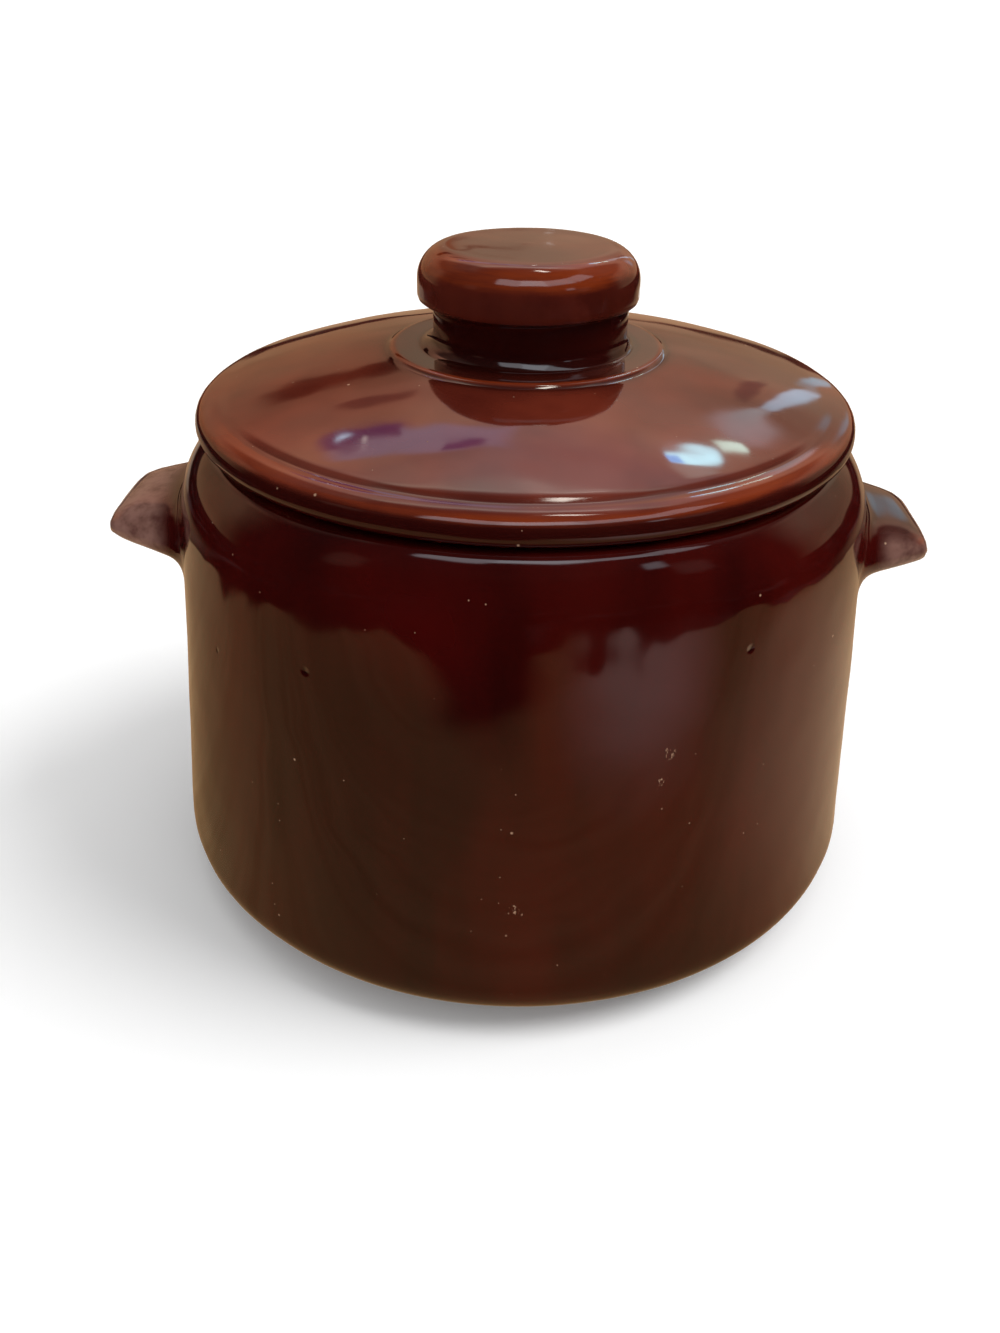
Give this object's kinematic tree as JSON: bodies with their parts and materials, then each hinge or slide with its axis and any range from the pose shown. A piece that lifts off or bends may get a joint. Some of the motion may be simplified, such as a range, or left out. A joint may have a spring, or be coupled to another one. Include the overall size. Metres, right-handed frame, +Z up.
{
  "type": "bean pot",
  "caption": "Round glazed stoneware bean pot: tapered body with rounded base and shoulder, lug handles at the sides, domed lift-off lid with a thick disc knob.",
  "frame": {"origin": "on the pot's axis, in the plane that the foot ring stands on", "axes": "+X runs through the right-hand handle, +Z is up along the pot's axis, and -Y is the front"},
  "size_m": [0.2232, 0.1931, 0.1681],
  "materials": {
    "pot_glaze": "glossy dark mahogany-brown glaze over stoneware, bare on the foot ring",
    "lid_glaze": "glossy mahogany-brown glaze over stoneware, breaking to orange on the edges, bare under the lid's seat"
  },
  "bodies": {
    "pot": {"pot_body": "pot_glaze", "handle_right": "pot_glaze", "handle_left": "pot_glaze"},
    "lid": {"lid": "lid_glaze", "lid_knob": "lid_glaze"}
  },
  "joints": [
    {"name": "lid_lift", "type": "slide", "parent": "pot", "child": "lid", "axis": [0, 0, 1], "range_m": [0, 0.2]}
  ]
}
